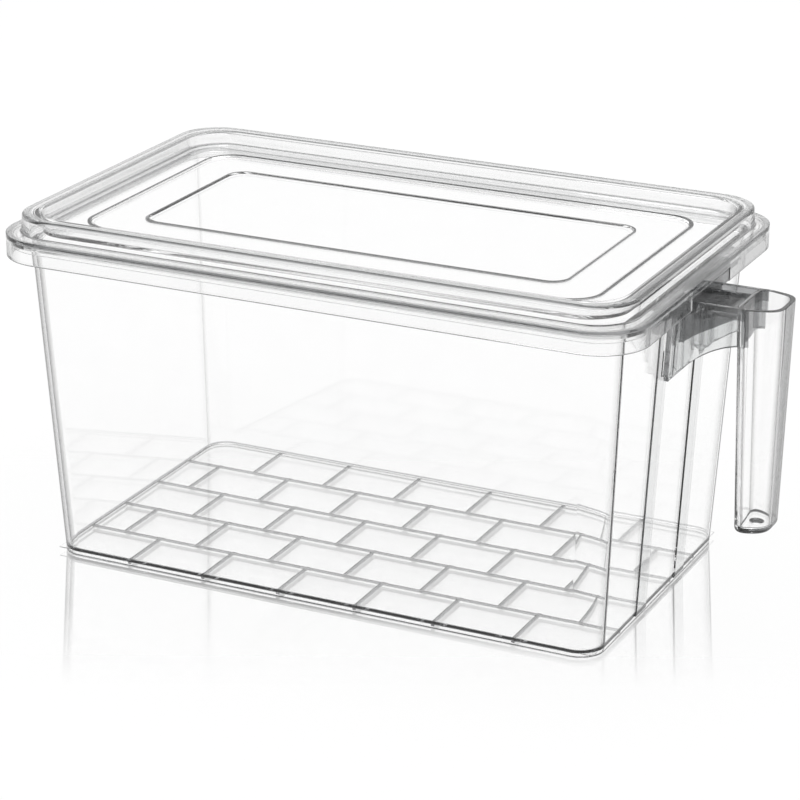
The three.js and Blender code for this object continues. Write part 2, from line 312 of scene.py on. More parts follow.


# Each list is in the order of the tones: wall, edge, shade, pale shade, corner, flank. Their grey and dark
# tints, the turned ones too, are painted shade.
tubMaterials = [
    clearPlastic("asMouldedPolishedWall", "#ffffff", "#fdfdfd", 0.02),
    clearPlastic("tubEdgePaintedShade", "#3a3b3c", "#424344", 0.05),
    clearPlastic("tubPaintedShade", "#4c4d4e", "#535455", 0.05),
    clearPlastic("tubPaintedPaleShade", "#dadbdb", "#d3d4d4", 0.04),
    clearPlastic("tubCornerPaintedShade", "#ffffff", "#fdfdfd", 0.02, "#151617", (0.28, 0.76)),
    clearPlastic("tubFlankPaintedShade", "#8f9091", "#878889", 0.05),
]
# Lid: all but the clear panel tint are painted shade
lidMaterials = [
    clearPlastic("asMouldedLidPanel", "#ffffff", "#fdfdfd", 0.02),
    clearPlastic("lidEdgePaintedShade", "#161718", "#1c1d1e", 0.05),
    clearPlastic("lidPaintedShade", "#5e5f60", "#58595a", 0.05),
    clearPlastic("lidPaintedPaleShade", "#e2e3e3", "#dcdddd", 0.05),
    clearPlastic("lidSkirtPaintedShade", "#fdfdfd", "#f9f9f9", 0.04, "#3a3b3c"),
    clearPlastic("lidMidPaintedShade", "#b8b9b9", "#b1b2b2", 0.05),
]
# Handle: all but the clear grip tint are painted shade
handleMaterials = [
    clearPlastic("asMouldedGrip", "#ffffff", "#fdfdfd", 0.03),
    clearPlastic("handleEdgePaintedShade", "#2a2b2c", "#343536", 0.05),
    clearPlastic("handlePaintedShade", "#757677", "#7e7f80", 0.08),
    clearPlastic("handlePaintedPaleShade", "#eaebeb", "#e3e4e4", 0.06),
    clearPlastic("gripCornerPaintedShade", "#ffffff", "#fbfbfb", 0.03, "#101112", (0.24, 0.79)),
    clearPlastic("handleMidPaintedShade", "#7c7d7e", "#757677", 0.06),
]
print("materials made")

# Tub, one moulding
tubSet = {
    "baseLength": 262.7 * mm,
    "baseWidth": 149 * mm,
    "baseCorner": 11.6 * mm,
    "mouthCorner": 12.1 * mm,
    "cornerGrowShare": 1.0,
    "wall": 2 * mm,
    "floor": 1.3 * mm,
    "footHeight": 1.6 * mm,
    "footWidth": 1.8 * mm,
    "rimOverhang": 8 * mm,
    "rimThickness": 2.2 * mm,
    "rimLip": 1.5 * mm,
    "rimEdge": 1.6 * mm,
    "rimCornerShare": 0.99,
    "brickColumns": 7,
    "brickRows": 5,
    "ribWidth": 1.3 * mm,
    "ribHeight": 0.9 * mm,
    "ribDraft": 0.18 * mm,
    "lineLow": 2.2 * mm,  # the floor's edge lies behind the wall here; up to lineHigh a painted shade band draws it as a dark line round the wall
    "lineHigh": 3.3 * mm,
    "weld": 0.6 * mm,  # how far parts of one moulding reach into each other
    "cornerSteps": 14,
}
tubHeight = tubHigh.z
rimUnderside = tubHeight - tubSet["rimThickness"]
mouthLength = tubHigh.x - tubLow.x - 2 * tubSet["rimOverhang"]
mouthWidth = tubHigh.y - tubLow.y - 2 * tubSet["rimOverhang"]
wallSlope = (mouthLength - tubSet["baseLength"]) / 2 / tubHeight


def endWallX(z):
    # Outer face of the handle's end wall: half the base's length out, and the slope times the height.
    return middleX + tubSet["baseLength"] / 2 + wallSlope * z


def tubRings(profile):
    # Half length, half width and corner radius grow evenly from the base to the mouth, then the offset is
    # added. The radius follows the offset by a share of its own, outside for the rim and inside for the wall.
    offset, z = profile[:, 0], profile[:, 1]
    share = z / tubHeight
    halfX = tubSet["baseLength"] / 2 * (1 - share) + mouthLength / 2 * share + offset
    halfY = tubSet["baseWidth"] / 2 * (1 - share) + mouthWidth / 2 * share + offset
    grown = np.where(offset > 0, tubSet["rimCornerShare"], tubSet["cornerGrowShare"]) * offset
    radius = tubSet["baseCorner"] * (1 - share) + tubSet["mouthCorner"] * share + grown
    return rectangleRings(halfX, halfY, radius, z, tubSet["cornerSteps"])


def brickRibs():
    # Ribs under the floor as one slab with a stepped underside: the lowest height on rib lines, the highest
    # between them. Every rib edge has two grid lines a draft apart, so its flank leans by the draft.
    pitchX = tubSet["baseLength"] / tubSet["brickColumns"]
    pitchY = tubSet["baseWidth"] / tubSet["brickRows"]
    halfX = (tubSet["baseLength"] - tubSet["footWidth"]) / 2
    halfY = (tubSet["baseWidth"] - tubSet["footWidth"]) / 2
    half, draft = tubSet["ribWidth"] / 2, tubSet["ribDraft"]
    steps = np.array([-half - draft, -half, half, half + draft])
    joints = (np.arange(1, 2 * tubSet["brickColumns"]) - tubSet["brickColumns"]) * pitchX / 2
    beds = (np.arange(1, tubSet["brickRows"]) - tubSet["brickRows"] / 2) * pitchY
    xs = np.concatenate([[-halfX], (joints[:, None] + steps).ravel(), [halfX]])
    ys = np.concatenate([[-halfY], (beds[:, None] + steps).ravel(), [halfY]])
    gridX, gridY = np.meshgrid(xs, ys)
    near = half + draft / 2
    row = np.clip(np.floor((gridY + tubSet["baseWidth"] / 2) / pitchY), 0, tubSet["brickRows"] - 1)
    shift = np.where(row % 2 == 1, pitchX / 2, 0)
    along = (gridX + tubSet["baseLength"] / 2 - shift) / pitchX
    onJoint = np.abs(along - np.round(along)) * pitchX < near
    onBed = np.min(np.abs(gridY[..., None] - beds), axis=-1) < near
    low = tubSet["footHeight"] - tubSet["ribHeight"]
    high = tubSet["footHeight"] + tubSet["weld"] / 2
    bottom = np.where(onJoint | onBed, low, high)
    return xs, ys, bottom, low


def heightSlab(name, xs, ys, bottom, top, low):
    # Closed slab: the stepped underside, a level top, and a strip round the rim between them. A cell of the
    # underside is a flank where its corners differ in height, and a rib's face where it is at the low level.
    # Flanks and rib faces are tinted as painted shade, the dark lines the ribs show.
    gridX, gridY = np.meshgrid(xs, ys)
    rows, columns = gridX.shape
    under = np.stack([gridX + middleX, gridY, bottom], axis=-1).reshape(-1, 3)
    over = np.stack([gridX + middleX, gridY, np.full_like(gridX, top)], axis=-1).reshape(-1, 3)
    index = np.arange(rows * columns).reshape(rows, columns)
    a, b, c, d = index[:-1, :-1], index[:-1, 1:], index[1:, 1:], index[1:, :-1]
    underFaces = np.stack([a, d, c, b], axis=-1).reshape(-1, 4)
    overFaces = np.stack([a, b, c, d], axis=-1).reshape(-1, 4) + rows * columns
    rim = np.concatenate([index[0, :-1], index[:-1, -1], index[-1, :0:-1], index[:0:-1, 0]])
    onward = np.roll(rim, -1)
    sides = np.stack([rim, onward, onward + rows * columns, rim + rows * columns], axis=-1)
    faces = np.concatenate([underFaces, overFaces, sides])
    cellHeights = np.stack([bottom[:-1, :-1], bottom[:-1, 1:], bottom[1:, 1:], bottom[1:, :-1]])
    leaning = np.ptp(cellHeights, axis=0) > 0
    level = np.where(cellHeights[0] <= low, edgeTone, wallTone)
    tones = np.full(len(faces), wallTone, np.int32)
    tones[:len(underFaces)] = np.where(leaning, flankTone, level).ravel()
    return tonedMesh(name, np.concatenate([under, over]), faces.tolist(), tones)


def tubShell():
    # One profile carried round the box: the foot, up the outside, the rim, and down the inside to the floor.
    wall, footWidth, footHeight = tubSet["wall"], tubSet["footWidth"], tubSet["footHeight"]
    lipLow = rimUnderside - tubSet["rimLip"]
    rimOut, rimIn = tubSet["rimOverhang"], tubSet["rimOverhang"] - tubSet["rimEdge"]
    floorTop = footHeight + tubSet["floor"]
    clear, shade, faintShade, turn, mid = wallTone, shadeTone, paleShadeTone, turnTone, flankTone
    # Its grey tones are painted shade: the foot's bottom, a dark band round the floor's edge, the rim's edge
    # and the inner top rounding. The upright walls take the corner tone, with painted shade where they turn
    # away.
    profile, rows = softenedProfile([
        (-footWidth * 2, footHeight, 0, clear, clear),
        (-footWidth, footHeight, 0.3, clear, clear),
        (-footWidth, 0, 0.3, shade, shade),
        (0, 0, 0.25, mid, clear),
        (0, tubSet["lineLow"], 0.1, mid, mid),
        (0, tubSet["lineHigh"], 0.1, mid, turn),
        (0, rimUnderside, 1.0, clear, clear),
        (rimIn, rimUnderside, 0.3, clear, clear),
        (rimIn, lipLow, 0.4, clear, clear),
        (rimOut, lipLow, 0.5, faintShade, clear),
        (rimOut, tubHeight, 0.6, faintShade, clear),
        (-wall, tubHeight, 0.6, mid, turn),
        (-wall, floorTop, 0.8, clear, clear),
        (-wall * 3, floorTop, 0, clear, clear),
    ])
    rings = tubRings(profile)
    tones = spreadTones(rows, rings.shape[1], tubSet["cornerSteps"])
    return skin("tub_moulding", rings, tones, [wallTone, wallTone])


def leaningBar(name, out, across, levels, bevel, fronts, sides, arc):
    # Upright bar on the end wall: a softened rectangle in plan, drawn in by the bevel at both ends, its x
    # counted out from the wall's outer face and leaning with it. fronts has a tone for each stretch between
    # the levels, sides one for -Y and one for +Y, and arc is the tone of the corners and the ends.
    heights = np.array([levels[0], levels[0] + bevel, *levels[1:-1], levels[-1] - bevel, levels[-1]])
    inset = np.array([bevel] + [0] * len(levels) + [bevel])[:, None]
    signs = np.array([(1, -1), (1, 1), (-1, 1), (-1, -1)], float)
    middle = np.array([(out[0] + out[1]) / 2, (across[0] + across[1]) / 2])
    half = np.array([(out[1] - out[0]) / 2, (across[1] - across[0]) / 2])
    corners = middle + signs[None] * (half - inset)[:, None, :]
    steps = 2
    plan = softened(corners, bevel / 2, steps)
    x = plan[..., 0] + endWallX(heights[:, None])
    rings = np.stack([x, plan[..., 1], np.broadcast_to(heights[:, None], x.shape)], axis=-1)
    front, plusSide, back, minusSide = steps + (steps + 1) * np.arange(4)
    tones = np.full((len(heights) - 1, 4 * (steps + 1)), arc)
    tones[1:-1, [front, back]] = np.array(fronts)[:, None]
    tones[1:-1, [minusSide, plusSide]] = sides
    return skin(name, rings, tones, [arc, arc])


guideSet = {
    "bandInner": 17.5 * mm,
    "bandWidth": 11 * mm,
    "bandRise": 0.8 * mm,
    "railFace": 22.3 * mm,
    "railWall": 2.2 * mm,
    "lipOffset": 3.6 * mm,
    "lipReach": 2.8 * mm,
    "lipThickness": 2 * mm,
    "railHeight": 36 * mm,
    "collarReach": 17.5 * mm,
    "collarHeight": 4.5 * mm,
    "collarThickness": 6.3 * mm,
    "bevel": 0.35 * mm,
}


def makeTub():
    # The shell, the ribs, and on each side of the handle's place a band, a rail, its lip and a collar.
    tub = tubShell()
    xs, ys, bottom, low = brickRibs()
    top = tubSet["footHeight"] + tubSet["weld"]
    combine(tub, heightSlab("ribs", xs, ys, bottom, top, low), "UNION")
    g, weld, bevel = guideSet, tubSet["weld"], guideSet["bevel"]
    railTop = rimUnderside + weld
    railBottom = rimUnderside - g["railHeight"]
    lipOut = g["lipOffset"] + g["lipThickness"]
    railMiddle = g["railFace"] + g["railWall"] / 2
    collarEnd = railMiddle + g["railWall"] / 2 + g["collarReach"]
    clear, edge, shade, faintShade = wallTone, edgeTone, shadeTone, paleShadeTone
    for side in (-1, 1):
        # The bars carry painted shade: the band's face and outer side, the rail's dark front, the lip and the
        # collar.
        bars = (
            ("band", (-weld, g["bandRise"]), (g["bandInner"], g["bandInner"] + g["bandWidth"]),
             tubSet["footHeight"], faintShade, (shade, clear)[::-side], faintShade),
            ("rail", (-weld, lipOut), (g["railFace"], g["railFace"] + g["railWall"]),
             railBottom, edge, (clear, clear), edge),
            ("lip", (g["lipOffset"], lipOut), (g["railFace"] - g["lipReach"], railMiddle),
             railBottom, faintShade, (faintShade, faintShade), faintShade),
            ("collar", (-weld, g["collarThickness"]), (railMiddle, collarEnd),
             rimUnderside - g["collarHeight"], shade, (shade, shade), shade),
        )
        for name, out, across, bottom, front, sides, arc in bars:
            span = sorted(side * y for y in across)
            combine(tub, leaningBar(name, out, span, (bottom, railTop), bevel, [front], sides, arc), "UNION")
    finishPiece(tub, "tub", "tub_body", tubMaterials)


makeTub()

# Lid, one moulding
lidSet = {
    "wall": 2 * mm,
    "skirtWall": 2.2 * mm,
    "skirtDepth": 10.5 * mm,
    "skirtCorner": 22.8 * mm,
    "cornerShrinkShare": 0.26,
    "ringInset": 5.8 * mm,
    "ringTopWidth": 6.2 * mm,
    "ringOuterDraft": 0.4 * mm,
    "ringInnerDraft": 1.2 * mm,
    "panelDepth": 6.3 * mm,
    "firstStep": 29.4 * mm,
    "secondStep": 49.4 * mm,
    "stepDrop": 0.7 * mm,
    "stepWidth": 1.3 * mm,
    "creaseWidths": (1.0 * mm, 0.6 * mm),  # painted shade line beside each step
    "creaseGrowth": ((0, 0.9 * mm), (1.4 * mm, 0)),  # and how much wider it is towards -Y and +Y
    "creaseEdge": 0.15 * mm,  # a crease's rounded edge lies within this of its place
    "creaseReach": 1.5 * mm,  # and all of the crease within this of its step
    "flangeShadow": (1.5 * mm, 3.1 * mm),  # painted shade bands down the skirt's outer face, for the flange's end seen through it
    # width of a painted shade band on the ring's top, in from its outer edge
    "ringShadow": 3.2 * mm,
    "notchHalf": 23 * mm,
    "notchHeight": 6.2 * mm,
    "notchMargin": 0.4 * mm,  # the painted shade cell over the notch ends this far inside its sides
    "notchOvercut": 0.3 * mm,
    "outerSkin": 0.5 * mm,  # the skirt's outer face is within this of the lid's outside
    "cornerSteps": 18,
}


def lidRings(profile):
    # Half sizes shrink by the inset. The corner radius shrinks by the inset through the skirt's wall, and
    # past it by only a share of the inset.
    inset, z = profile[:, 0], profile[:, 1]
    throughWall = np.minimum(inset, lidSet["skirtWall"])
    radius = lidSet["skirtCorner"] - throughWall - lidSet["cornerShrinkShare"] * (inset - throughWall)
    halfX = (lidHigh.x - lidLow.x) / 2 - inset
    halfY = (lidHigh.y - lidLow.y) / 2 - inset
    rings = rectangleRings(halfX, halfY, radius, z, lidSet["cornerSteps"])
    # A crease's outer edge moves out by its growth on the two long sides, in proportion to y, which widens
    # its painted shade line there
    steps = (lidSet["firstStep"], lidSet["secondStep"])
    for step, width, growths in zip(steps, lidSet["creaseWidths"], lidSet["creaseGrowth"]):
        onEdge = np.abs(inset - step + width) < lidSet["creaseEdge"]
        for sign, growth in zip((-1, 1), growths):
            stretch = 1 + np.where(onEdge, growth / halfY, 0)[:, None]
            y = rings[..., 1]
            rings[..., 1] = np.where(sign * y > 0, y * stretch, y)
    # Two more points on the straight end over the arm give it a cell as wide as the notch, for painted shade
    over = (lidSet["notchHalf"] - lidSet["notchMargin"]) * np.array([-1, 1])
    extra = np.stack(np.broadcast_arrays((middleX + halfX)[:, None], over[None, :], z[:, None]), axis=-1)
    return np.concatenate([rings, extra], axis=1)


def makeLid():
    # One profile carried round the lid: the underside from the middle out, the skirt, and back over the top.
    s = lidSet
    skirtBottom, ringTop = lidLow.z, lidHigh.z
    flangeTop = skirtBottom + s["skirtDepth"]
    lidUnder = flangeTop - s["wall"]
    panelTop = ringTop - s["panelDepth"]
    ringOut = s["ringInset"] + s["ringOuterDraft"]
    ringIn = ringOut + s["ringTopWidth"]
    panelEdge = ringIn + s["ringInnerDraft"]
    wall, drop, step = s["wall"], s["stepDrop"], s["stepWidth"]
    first, second = s["firstStep"], s["secondStep"]
    firstEdge, secondEdge = first - s["creaseWidths"][0], second - s["creaseWidths"][1]
    high, low = (flangeTop - depth for depth in s["flangeShadow"])
    clear, edge, shade, faintShade, mid = wallTone, edgeTone, shadeTone, paleShadeTone, flankTone
    corner, turn = cornerTone, turnTone
    # Its grey and dark tones are painted shade: lines at the creases and the ring's edges, the skirt's foot,
    # bands down the skirt under the flange and across the ring's top; the skirt and the ring's inner wall
    # take the corner tone.
    profile, rows = softenedProfile([
        (second + step * 2, panelTop - 2 * drop - wall, 0, clear, clear),
        (second + step, panelTop - 2 * drop - wall, 0.2, clear, clear),
        (second, panelTop - drop - wall, 0.2, [clear, clear, edge, edge], edge),
        (secondEdge, panelTop - drop - wall, 0.1, edge, clear),
        (first + step, panelTop - drop - wall, 0.2, clear, clear),
        (first, panelTop - wall, 0.2, [clear, clear, edge, edge], edge),
        (firstEdge, panelTop - wall, 0.1, edge, clear),
        (panelEdge - wall / 2, panelTop - wall, 0.8, clear, corner),
        (ringIn - wall, ringTop - wall, 0.6, clear, clear),
        (ringOut + wall, ringTop - wall, 0.6, clear, clear),
        (s["ringInset"] + wall, lidUnder, 0.8, clear, clear),
        (s["skirtWall"], lidUnder, 0.5, clear, corner),
        (s["skirtWall"], skirtBottom, 0.25, faintShade, shade),
        (0, skirtBottom, 0.4, edge, corner),
        (0, low, 0.1, mid, mid),
        (0, high, 0.1, shade, shade),
        (0, flangeTop, 0.4, [shade, mid, mid, faintShade], clear),
        (s["ringInset"], flangeTop, 0.6, mid, turn),
        (ringOut, ringTop, 1.2, [mid, shade, shade, mid], mid),
        (ringOut + s["ringShadow"], ringTop, 0.1, mid, clear),
        (ringIn, ringTop, 1.0, [mid, mid, faintShade, clear], corner),
        (panelEdge, panelTop, 0.5, mid, clear),
        (firstEdge, panelTop, 0.1, edge, edge),
        (first, panelTop, 0.3, [edge, edge, clear, clear], clear),
        (first + step, panelTop - drop, 0.3, clear, clear),
        (secondEdge, panelTop - drop, 0.1, edge, edge),
        (second, panelTop - drop, 0.3, [edge, edge, clear, clear], clear),
        (second + step, panelTop - 2 * drop, 0.3, clear, clear),
        (second + step * 2, panelTop - 2 * drop, 0, clear, clear),
    ])
    rings = lidRings(profile)
    steps = s["cornerSteps"]
    tones = spreadTones(rows, rings.shape[1], steps)
    # The inner crease's painted shade line is lighter along +Y and round the end away from the handle: the
    # straight cell after the first corner, the second corner, the next straight cell and half the third
    # corner
    inset, z = profile[:, 0], profile[:, 1]
    onInner = (np.abs(inset[:-1] - second) < s["creaseReach"]) & (rows == edge)
    tones[np.flatnonzero(onInner)[:, None], np.arange(steps, 2 * steps + 2 + steps // 2)] = shade
    # Over the arm the skirt and the shoulder above it get painted shade, down to the notch
    onSkirt = (inset[:-1] < s["outerSkin"]) & (inset[1:] < s["outerSkin"]) & (rows != edge)
    onShoulder = (z[:-1] > flangeTop - hair) & (inset[1:] < s["ringInset"])
    tones[onSkirt, -2] = shade
    tones[onShoulder & (inset[:-1] > 0) & (z[1:] < flangeTop + hair), -2] = mid
    lid = skin("lid_moulding", rings, tones, [wallTone, wallTone])
    outer = (lidHigh.x - lidLow.x) / 2 + middleX
    notchX = np.array([outer - s["skirtWall"] - s["notchOvercut"], outer + s["skirtWall"]])
    half = s["notchHalf"]
    corners = np.array([(notchX[1], -half), (notchX[1], half), (notchX[0], half), (notchX[0], -half)])
    heights = np.array([skirtBottom - s["notchHeight"], skirtBottom + s["notchHeight"]])
    notch = skin("notch", atHeights(np.broadcast_to(corners, (2, 4, 2)), heights), clear, [clear, clear])
    combine(lid, notch, "DIFFERENCE")
    finishPiece(lid, "lid", "lid_body", lidMaterials)


makeLid()

# Handle, one moulding
handleSet = {
    "topDrop": 6.6 * mm,
    "gripDepth": 19.3 * mm,
    "innerHalf": 16.8 * mm,
    "outerHalf": 11.8 * mm,
    "innerCorner": 8 * mm,
    "outerCorner": 7 * mm,
    "cornerShare": 0.8,  # how much of an inset the corners shrink by
    "cornerSteps": 10,
    "draft": 2.2 * mm,
    "wall": 2 * mm,
    "floor": 2.4 * mm,
    "bottomRound": 2 * mm,
    "bottomShares": ((0, 0.75), (0.15, 0.4), (0.5, 0.12), (1, 0)),  # its height and inset, as shares of it
    "drain": 6.5 * mm,
    "drainSides": 32,
    "plateHalf": 22 * mm,
    "plateThickness": 2.2 * mm,
    "plateHeight": 38.6 * mm,
    "plateOffset": 1.1 * mm,
    "plateGap": 0.3 * mm,  # under the rim
    "neckHalf": 18.9 * mm,
    "lipClearance": 0.3 * mm,
    "armHalf": 15.2 * mm,
    "armFlare": 11 * mm,
    "flareLead": 0.4 * mm,
    "deckDrop": 2.6 * mm,
    "deckThickness": 2.2 * mm,
    "deckReach": 0.9,  # share of the grip's wall that the deck runs into
    "deckSteps": 24,
    "armGripHeight": 16.8 * mm,
    "archBulge": 6.4 * mm,
    "webStart": 1.9 * mm,  # before the plate's middle
    "webReach": 5 * mm,
    "webSteps": 26,
    "webShadeDepth": (19 * mm, 5.5 * mm),  # how far down the web's painted shade reaches, at the plate and at the grip
    # height of the painted shade on the plate's upper part
    "plateShadeHeight": 12 * mm,
    "edge": 0.35 * mm,
    "edgeSteps": 3,
    "closureHalf": 22.4 * mm,
    "closureThickness": 2 * mm,
    "closureInset": 0.1 * mm,
    "closureGap": 0.25 * mm,
}
gripTop = tubHeight - handleSet["topDrop"]
gripBottom = handleLow.z
gripFace = handleHigh.x - handleSet["gripDepth"]


def gripRings(z, inset):
    # Rounded trapezoid, wide towards the box, drawn in by the draft on the way down and by the inset.
    s = handleSet
    drawn = s["draft"] * (gripTop - z) / (gripTop - gripBottom) + inset
    inner, outer = gripFace + drawn, gripFace + s["gripDepth"] - drawn
    innerHalf, outerHalf = s["innerHalf"] - drawn, s["outerHalf"] - drawn
    xs = np.stack([outer, outer, inner, inner], axis=-1)
    ys = np.stack([-outerHalf, outerHalf, innerHalf, -innerHalf], axis=-1)
    cuts = np.array([s["outerCorner"], s["outerCorner"], s["innerCorner"], s["innerCorner"]])
    cuts = cuts - s["cornerShare"] * inset[:, None]
    plan = softened(np.stack([xs, ys], axis=-1), cuts, s["cornerSteps"])
    return atHeights(plan, z)


def gripTones(zs, rows):
    # The corner tone, with its painted shade where the surface turns away, on the four roundings and the
    # outer face. Above the arm's lintel the side towards the box and most of the roundings beside it have a
    # grey painted shade, for the arm's junction behind the wall.
    steps = handleSet["cornerSteps"]
    cells = np.tile(np.append(np.full(steps, cornerTone), wallTone), 4)
    cells[steps] = cornerTone
    tones = np.where(rows[:, None] == wallTone, cells[None, :], rows[:, None])
    towardsBox = np.zeros(len(cells), bool)
    towardsBox[2 * steps + steps // 2:4 * steps + 1] = True
    joined = (zs[:-1] > gripTop - handleSet["armGripHeight"] - hair) & (rows == wallTone)
    return np.where(joined[:, None] & towardsBox[None, :], flankTone, tones)


def makeGrip():
    # The grip's outside: rounded at the bottom, softened at the mouth, with a ring at the arm's lintel.
    s = handleSet
    soft = s["edge"]
    rise, drawn = np.array(s["bottomShares"]).T * s["bottomRound"]
    lintel = gripTop - s["armGripHeight"]
    zs = np.concatenate([gripBottom + rise, [lintel, gripTop - soft, gripTop - soft / 3, gripTop]])
    insets = np.concatenate([drawn, [0, 0, soft / 3, soft]])
    # The bottom rounding and the mouth's softening carry the edge tone: painted dark lines.
    rows = np.array([edgeTone, edgeTone, edgeTone, wallTone, wallTone, edgeTone, edgeTone])
    return skin("handle_moulding", gripRings(zs, insets), gripTones(zs, rows), [wallTone, wallTone])


def hollow():
    # The grip's inside, a wall in from the outside: softened at its floor, and past the mouth it opens out.
    s = handleSet
    soft = s["edge"]
    floorZ = gripBottom + s["floor"]
    lintel = gripTop - s["armGripHeight"]
    zs = np.array([floorZ, floorZ + soft, floorZ + 2 * soft, lintel, gripTop - soft, gripTop + 3 * soft])
    insets = s["wall"] + np.array([1.2 * soft, 0.3 * soft, 0, 0, 0, -2 * soft])
    # The floor's softening and the mouth's flare carry the edge tone: painted dark lines.
    rows = np.array([edgeTone, edgeTone, wallTone, wallTone, edgeTone])
    return skin("hollow", gripRings(zs, insets), gripTones(zs, rows), [wallTone, wallTone])


def drainHole():
    # Upright cylinder through the grip's floor: a circle of the drain's radius about the floor's middle.
    s = handleSet
    angle = np.linspace(0, 2 * np.pi, s["drainSides"], endpoint=False)
    radius = s["drain"] / 2
    middle = gripFace + s["gripDepth"] / 2
    zs = np.array([gripBottom - s["floor"], gripBottom + 2 * s["floor"]])
    x = middle + radius * np.cos(angle) * np.ones((2, 1))
    y = radius * np.sin(angle) * np.ones((2, 1))
    rings = np.stack([x, y, zs[:, None] * np.ones_like(x)], axis=-1)
    # Its wall carries the edge tone, a painted dark line.
    return skin("drain", rings, edgeTone, [edgeTone, edgeTone])


def plateMiddle(z):
    # Middle of the plate's thickness, which leans with the wall.
    return endWallX(z) + handleSet["plateOffset"] + handleSet["plateThickness"] / 2


def archHeight(x):
    # Lower edge of the arm: a quadratic curve from the plate's foot to the lintel on the grip, with its
    # middle raised by the bulge.
    s = handleSet
    foot = rimUnderside - s["plateHeight"]
    root = plateMiddle(foot)
    tip = gripFace + s["wall"]
    lintel = gripTop - s["armGripHeight"]
    t = np.clip((x - root) / (tip - root), 0, 1)
    middle = (foot + lintel) / 2 + s["archBulge"]
    return (1 - t) ** 2 * foot + 2 * t * (1 - t) * middle + t ** 2 * lintel


def armPath(xs):
    # Half width of the arm along x: the neck between the rails, a flare just past them, then straight.
    s = handleSet
    flareStart = endWallX(gripTop) + guideSet["lipOffset"] + guideSet["lipThickness"] + s["lipClearance"]
    flareEnd = middleX + mouthLength / 2 + s["armFlare"]
    t = np.clip((xs - flareStart) / (flareEnd - flareStart), 0, 1)
    flared = s["plateHalf"] + (s["armHalf"] - s["plateHalf"]) * np.sin(t * np.pi / 2)
    return np.where(xs < flareStart, s["neckHalf"], flared), flareStart


def alongX(xs, sections):
    # Sections across the arm set at their places along it: x from the row, y and z from the section.
    return np.concatenate([np.broadcast_to(xs[:, None, None], sections.shape[:-1] + (1,)), sections], axis=-1)


def web(side):
    # Upright sheet: a softened rectangle, thickness by height, carried along x from the plate into the grip.
    # Its upper part has grey painted shade, deeper down towards the plate, and on its inner side only from
    # the deck down.
    s = handleSet
    tip = gripFace + s["webReach"]
    _, flareStart = armPath(np.array([0.0]))
    root = plateMiddle(gripTop)
    flaring = np.linspace(flareStart - s["flareLead"], tip, s["webSteps"])
    xs = np.concatenate([[root - s["webStart"], root], flaring])
    halves, _ = armPath(xs)
    low, high = archHeight(xs), np.full_like(xs, gripTop)
    outer, inner = halves, halves - s["wall"]
    split = gripTop - np.interp(xs, [root, gripFace], s["webShadeDepth"])
    deckTop = high - s["deckDrop"]
    ys = side * np.stack([inner, outer, outer, outer, inner, inner, inner], axis=-1)
    zs = np.stack([low, low, split, high, high, deckTop, split], axis=-1)
    section = np.stack([ys, zs], axis=-1)
    if side < 0:
        section = section[:, ::-1]
    rings = alongX(xs, softened(section, s["edge"], s["edgeSteps"]))
    arcs = [edgeTone, edgeTone, paleShadeTone, shadeTone, shadeTone, paleShadeTone, paleShadeTone]
    runs = [edgeTone, paleShadeTone, shadeTone, paleShadeTone, paleShadeTone, shadeTone, paleShadeTone]
    if side < 0:
        arcs = arcs[::-1]
        runs = runs[-2::-1] + runs[-1:]
    tones = np.array([[arcTone] * s["edgeSteps"] + [runTone] for arcTone, runTone in zip(arcs, runs)]).ravel()
    return skin("web", rings, tones[None, :], [shadeTone, shadeTone])


def deck():
    # Sunken deck between the webs: a flat bar whose half width follows them, tinted grey as painted shade.
    s = handleSet
    root = plateMiddle(gripTop)
    xs = np.linspace(root, gripFace + s["wall"] * s["deckReach"], s["deckSteps"])
    halves, _ = armPath(xs)
    halves = halves - s["wall"] / 2
    top = np.full_like(xs, gripTop - s["deckDrop"])
    low = top - s["deckThickness"]
    ys = np.stack([-halves, halves, halves, -halves], axis=-1)
    zs = np.stack([low, low, top, top], axis=-1)
    return skin("deck", alongX(xs, np.stack([ys, zs], axis=-1)), shadeTone, [shadeTone, shadeTone])


def closure(half, low, high):
    # Upright wall across the arm, such as the one that fills the lid's notch: a softened rectangle in plan,
    # drawn in by the bevel at both ends. Its grey tint is painted shade.
    s = handleSet
    bevel = s["edge"]
    outer = lidHigh.x - s["closureInset"]
    heights = np.array([low, low + bevel, high - bevel, high])
    inset = np.array([bevel, 0, 0, bevel])[:, None]
    signs = np.array([(1, -1), (1, 1), (-1, 1), (-1, -1)], float)
    middle = np.array([outer - s["closureThickness"] / 2, 0])
    size = np.array([s["closureThickness"] / 2, half])
    plan = softened(middle + signs[None] * (size - inset)[:, None, :], bevel, s["edgeSteps"])
    return skin("closure", atHeights(plan, heights), shadeTone, [shadeTone, shadeTone])


